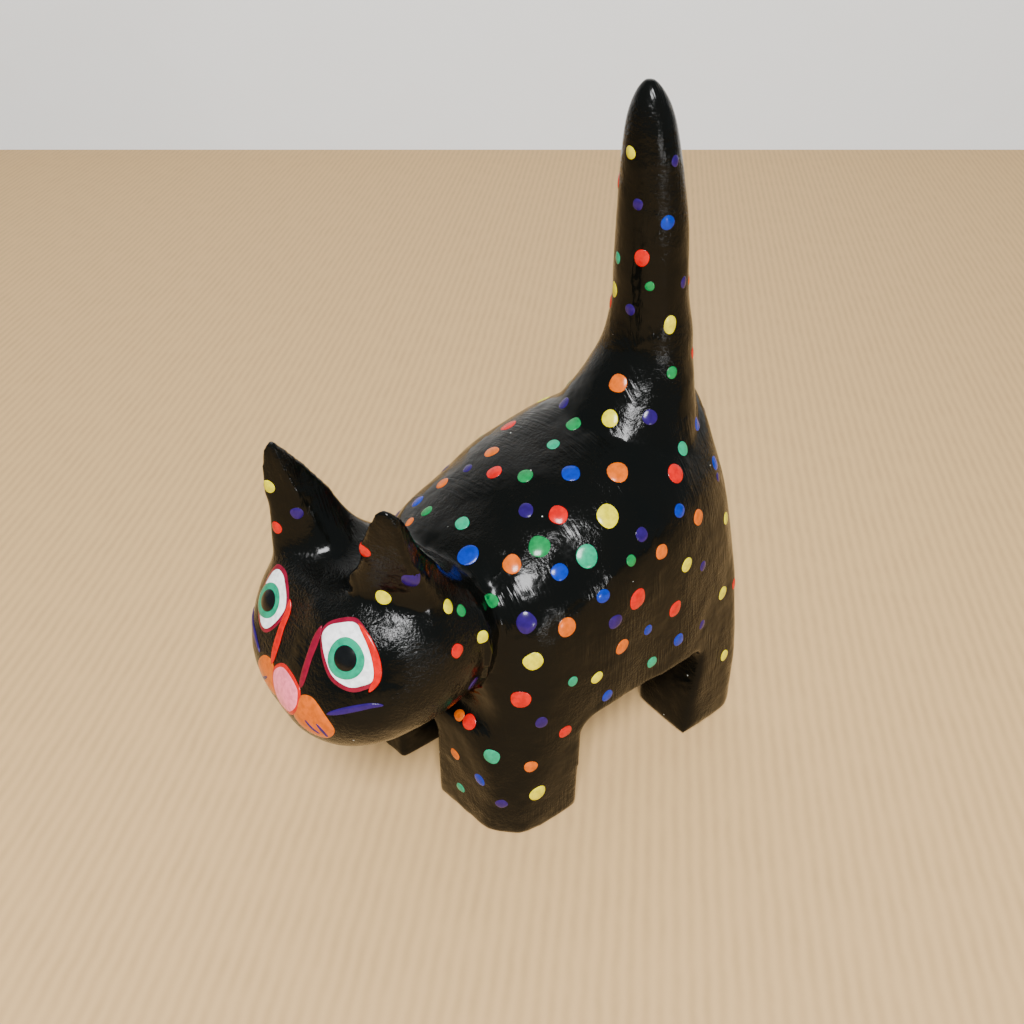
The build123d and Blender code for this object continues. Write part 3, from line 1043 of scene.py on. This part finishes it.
@dataclass
class LooseDots:
    """Dots that the painter dabs as they come, over the sides that the charted ones leave bare."""

    gap_mm: float = 2.6
    tries: int = 9000
    lowest_mm: float = 3.0
    neck_mm: float = -8.5
    rump_top_mm: float = 63.0
    tail_foot_mm: float = 66.5
    tail_tip_mm: float = 91.0
    small_share: float = 0.75
    widths_mm: tuple[float, ...] = (2.2, 2.6, 3.0, 3.0, 3.4, 4.0)
    colours: tuple[Paint, ...] = (Paint.RED, Paint.ORANGE, Paint.YELLOW, Paint.GREEN, Paint.TEAL, Paint.BLUE,
                                  Paint.PURPLE)

    def part_at(self, spot: Vector, normal: Vector) -> str | None:
        """Names the carved piece that a place is on, or None where no loose dot belongs."""
        x, y, z = (c / MM for c in spot)
        if z < self.lowest_mm or normal.z < -0.35:
            return None
        if z > self.tail_foot_mm:
            return "tail" if z < self.tail_tip_mm and (x < -1.5 or y > 26.5) and x < 2.5 else None
        if y > self.neck_mm:
            angle = math.degrees(math.atan2(z - Chart.body_axis_z, x))
            rump = normal.y > 0.55 and y > 24 and x < 10
            right_side = angle > 121 or angle < -128
            return "body" if (rump or right_side) and z < self.rump_top_mm else None
        if z < 20 and y < -10 and normal.y < -0.4 and x < 2:
            return "body"
        if 24 < z < 40 and -33 < y < -13 and x < -8:
            return "head"
        return None

    def paint(self, brush: Brush, chart: Chart) -> None:
        """Dabs the dots, none of them nearer to another than the gap."""
        polygons = brush.skin.data.polygons
        last = self.colours[0]
        for _ in range(self.tries):
            polygon = polygons[brush.rng.randrange(len(polygons))]
            across = brush.rng.choice(self.widths_mm)
            spot, part = polygon.center.copy(), self.part_at(polygon.center, polygon.normal)
            if part is None:
                continue
            across *= self.small_share if part != "body" else 1.0
            clear = all((spot - other).length > half + (across / 2 + self.gap_mm) * MM
                        for other, half in brush.laid)
            if clear:
                last = brush.rng.choice([c for c in self.colours if c is not last])
                brush.dot_at(part, last, spot, polygon.normal.copy(), across, brush.rng.uniform(0.94, 1.12),
                             brush.rng.uniform(-60, 60))


# ---- the studio
@dataclass(frozen=True)
class KraftPaper:
    """Ribbed kraft wrapping paper.

    It gives the eye a matt warm beige with faint parallel ribs. They come out at 0.89 of rib_mm apart.
    """

    beige: str = "#cca56e"
    rib: str = "#b3905f"
    rib_mm: float = 2.2
    fibre_mm: float = 6.0
    rib_depth_mm: float = 0.05
    roughness: float = 0.75

    def material(self) -> Material:
        """Builds the material."""
        finish, tree, shader, place = start_finish("kraft_paper")
        ribs = node(tree, "ShaderNodeTexWave", {"wave_type": "BANDS", "bands_direction": "DIAGONAL"},
                    Vector=place, Scale=0.5 / (self.rib_mm * MM), Distortion=1.2, Detail=2.0).outputs[1]
        amount = compute(tree, "MULTIPLY", ribs, noise(tree, place, self.fibre_mm, 5.0))
        plug(tree, shader, Base_Color=blend(tree, amount, linear(self.beige), linear(self.rib)),
             Normal=bump(tree, ribs, self.rib_depth_mm, 0.2), Roughness=self.roughness)
        return finish


@dataclass(frozen=True)
class PaleWall:
    """Whitewashed wall, which gives the eye a plain soft white behind the paper."""

    white: str = "#f2f6f9"
    daub_mm: float = 60.0
    daub_depth_mm: float = 4.0
    roughness: float = 0.8

    def material(self) -> Material:
        """Builds the material."""
        finish, tree, shader, place = start_finish("whitewash")
        daub = noise(tree, place, self.daub_mm, 3.0)
        plug(tree, shader, Base_Color=linear(self.white), Roughness=self.roughness,
             Normal=bump(tree, daub, self.daub_depth_mm, 0.4))
        return finish


@dataclass
class Studio:
    """Paper floor, pale wall, window light and the camera, in metres and degrees."""

    heading: float = 52.0
    pitch: float = 36.5
    lens_mm: float = 35.8
    eye: Triple = (0.0893, -0.0670, 0.1265)
    wall_away: float = 0.416
    key_from: Triple = (0.5, -0.4, 0.76)
    key_away: float = 0.55
    key_side: float = 0.18
    key_watts: float = 7.2
    lamp_from: Triple = (0.96, -0.1, 0.02)
    lamp_side: float = 0.05
    lamp_watts: float = 0.5
    aim: Triple = (0.0, 0.0, 0.035)
    sheet_side: float = 3.0
    sky: Four = (0.78, 0.91, 1.0, 1.0)
    sky_strength: float = 0.43

    def build(self) -> None:
        """Builds the studio."""
        turn = math.radians(self.heading)
        self.spread_sheet("floor", KraftPaper().material(), Vector((0, 0, 0)), (0, 0, 0))
        wall_spot = Vector(self.eye) + self.wall_away * Vector((-math.sin(turn), math.cos(turn), 0))
        wall_spot.z = 0
        self.spread_sheet("wall", PaleWall().material(), wall_spot, (math.pi / 2, 0, turn))

        camera = bpy.data.objects.new("camera", bpy.data.cameras.new("camera"))
        camera.location = self.eye
        camera.rotation_euler = (math.radians(90 - self.pitch), 0, turn)
        camera.data.lens = self.lens_mm
        camera.data.sensor_width = 36.0
        camera.data.clip_start = 0.005
        bpy.context.scene.collection.objects.link(camera)
        bpy.context.scene.camera = camera
        self.hang("window", self.key_from, self.key_side, self.key_watts)
        self.hang("low_lamp", self.lamp_from, self.lamp_side, self.lamp_watts)

        world = bpy.data.worlds.new("pale_room")
        world.use_nodes = True
        plug(world.node_tree, world.node_tree.nodes["Background"], Color=self.sky, Strength=self.sky_strength)
        bpy.context.scene.world = world

    def spread_sheet(self, name: str, finish: Material, middle: Vector, rotation: Triple) -> None:
        """Spreads a square sheet of the backdrop."""
        deselect_all()
        bpy.ops.mesh.primitive_plane_add(size=self.sheet_side, location=middle, rotation=rotation)
        sheet = bpy.context.object
        sheet.name = name
        sheet.data.materials.append(finish)

    def hang(self, name: str, towards: Sequence[float], side: float, watts: float) -> None:
        """Hangs a square light of a given side on a bearing from the cat, turned to face it."""
        lamp = bpy.data.objects.new(name, bpy.data.lights.new(name, "AREA"))
        lamp.data.shape = "SQUARE"
        lamp.data.size = side
        lamp.data.energy = watts
        middle = Vector(self.aim)
        lamp.location = middle + Vector(towards).normalized() * self.key_away
        lamp.rotation_euler = (middle - lamp.location).to_track_quat("-Z", "Y").to_euler()
        bpy.context.scene.collection.objects.link(lamp)


def main() -> None:
    """Builds the cat's looks."""
    logging.basicConfig(level=logging.INFO, format="%(name)s: %(message)s")
    carving = Carving()
    carving.build()
    brush = Brush(carving.skin, random.Random(20))
    chart = Chart()
    for job in (BodyDots(), TailDots(), Face(), EarDots(), LooseDots()):
        job.paint(brush, chart)
        LOG.info("%s painted", type(job).__name__)
    brush.finish()
    head_lacquer = BlackLacquer(name="gloss_black_lacquer_on_end_grain", pit_depth_mm=0.16, rough_from=0.3)
    carving.finish(BlackLacquer().material(), head_lacquer.material(), CopalWood().material())
    Studio().build()


if __name__ == "__main__":
    main()
